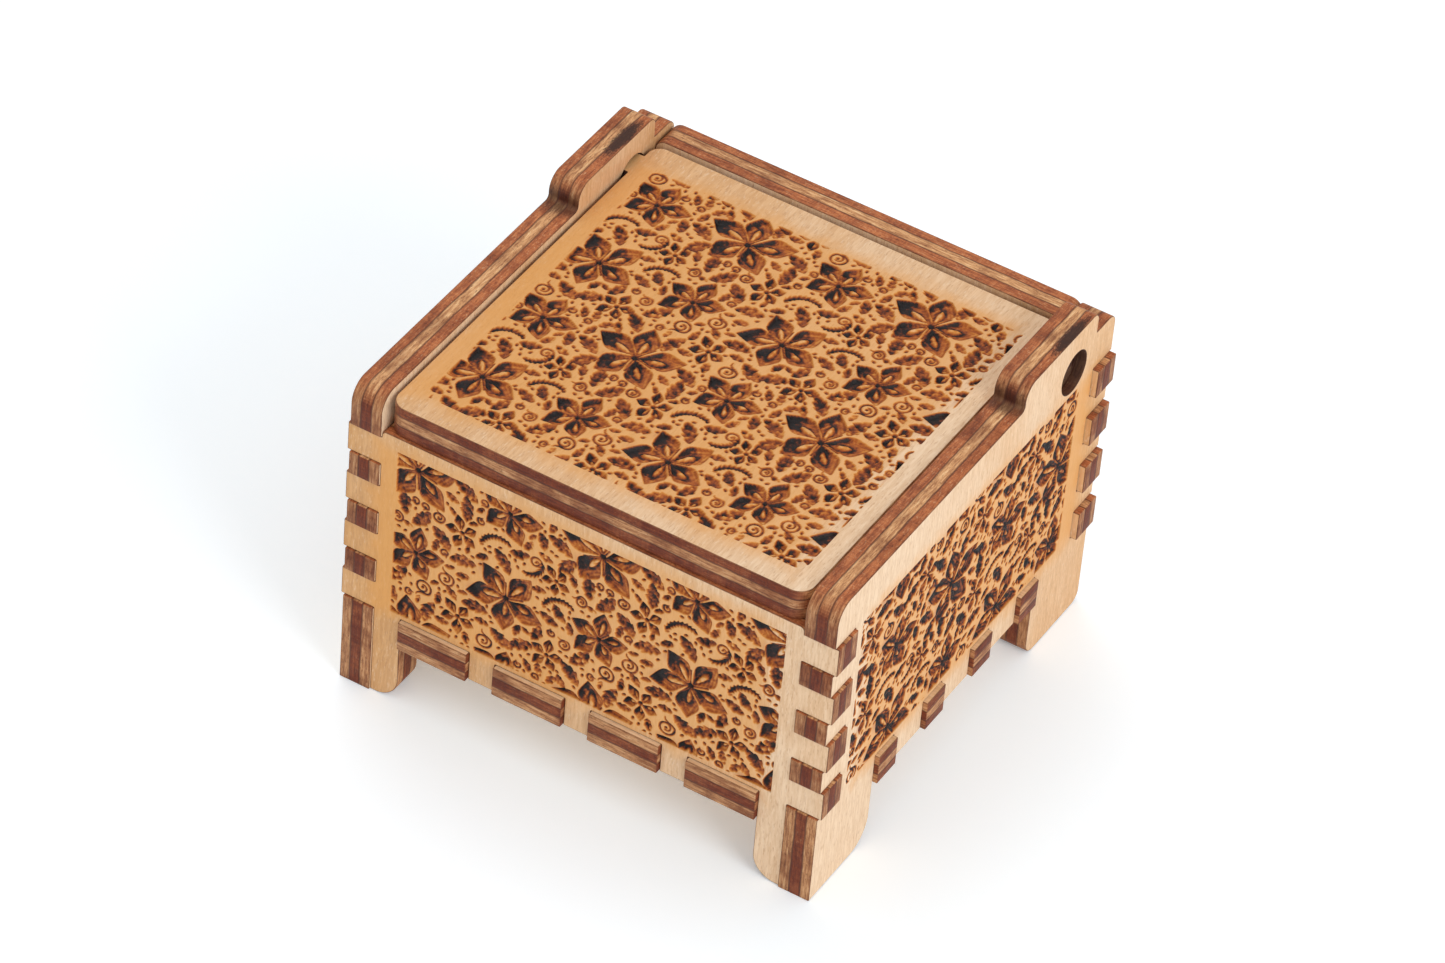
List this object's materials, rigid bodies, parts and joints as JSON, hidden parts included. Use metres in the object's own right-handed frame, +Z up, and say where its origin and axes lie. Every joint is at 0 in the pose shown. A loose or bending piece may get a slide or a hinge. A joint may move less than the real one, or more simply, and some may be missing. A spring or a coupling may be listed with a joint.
{
  "type": "wooden puzzle box",
  "caption": "Small slot-together plywood box on corner feet, with engraved walls and a lid that turns on stubs in two round holes.",
  "frame": {"origin": "centre of the whole box's footprint, on the surface that it stands on", "axes": "+X along the width towards the right side panel, +Y from the front towards the back panel and the hinge, +Z up"},
  "size_m": [0.0638, 0.0614, 0.0468],
  "materials": {
    "engraved_plywood": "three-ply hardwood plywood, laser-engraved faces scorched brown, dark laser-cut edges, unvarnished",
    "plain_plywood": "three-ply hardwood plywood, plain sanded faces, dark laser-cut edges, unvarnished"
  },
  "bodies": {
    "box": {"front_panel": "engraved_plywood", "back_panel": "engraved_plywood", "left_side_panel": "engraved_plywood", "right_side_panel": "engraved_plywood", "bottom_panel": "plain_plywood"},
    "lid": {"lid": "engraved_plywood"}
  },
  "joints": [
    {"name": "lid_hinge", "type": "hinge", "parent": "box", "child": "lid", "pos_m": [0, 0.02116, 0.041], "axis": [-1, 0, 0], "range_deg": [0, 130]}
  ]
}
